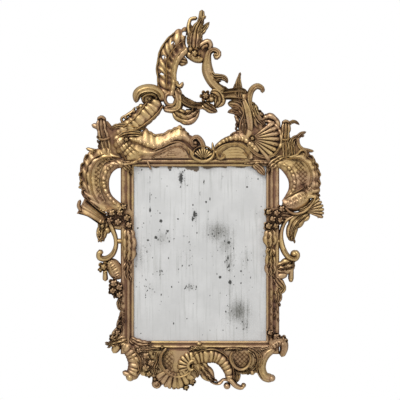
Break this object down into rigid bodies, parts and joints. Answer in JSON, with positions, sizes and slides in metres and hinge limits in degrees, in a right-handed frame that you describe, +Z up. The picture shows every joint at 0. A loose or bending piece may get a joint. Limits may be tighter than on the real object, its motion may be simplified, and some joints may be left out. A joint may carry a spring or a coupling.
{
  "type": "wall mirror",
  "caption": "Carved giltwood rococo wall mirror: an openwork asymmetric frame of scrolls, shells and leaves round an upright old glass plate.",
  "frame": {"origin": "on the flat back of the top rail, at mid-width, where the mirror hangs against the wall", "axes": "+Z up along the plate's height, +X to the right as seen from the front, -Y out of the wall towards the room"},
  "size_m": [0.9843, 0.062, 1.5177],
  "materials": {
    "gilded_wood": "worn gold leaf over red-brown ground on carved wood",
    "mirror_glass": "old silvered plate with foxing",
    "softwood": "bare, aged"
  },
  "bodies": {
    "root": {"carved_frame": "gilded_wood", "mirror_plate": "mirror_glass", "backboard": "softwood"}
  },
  "joints": []
}
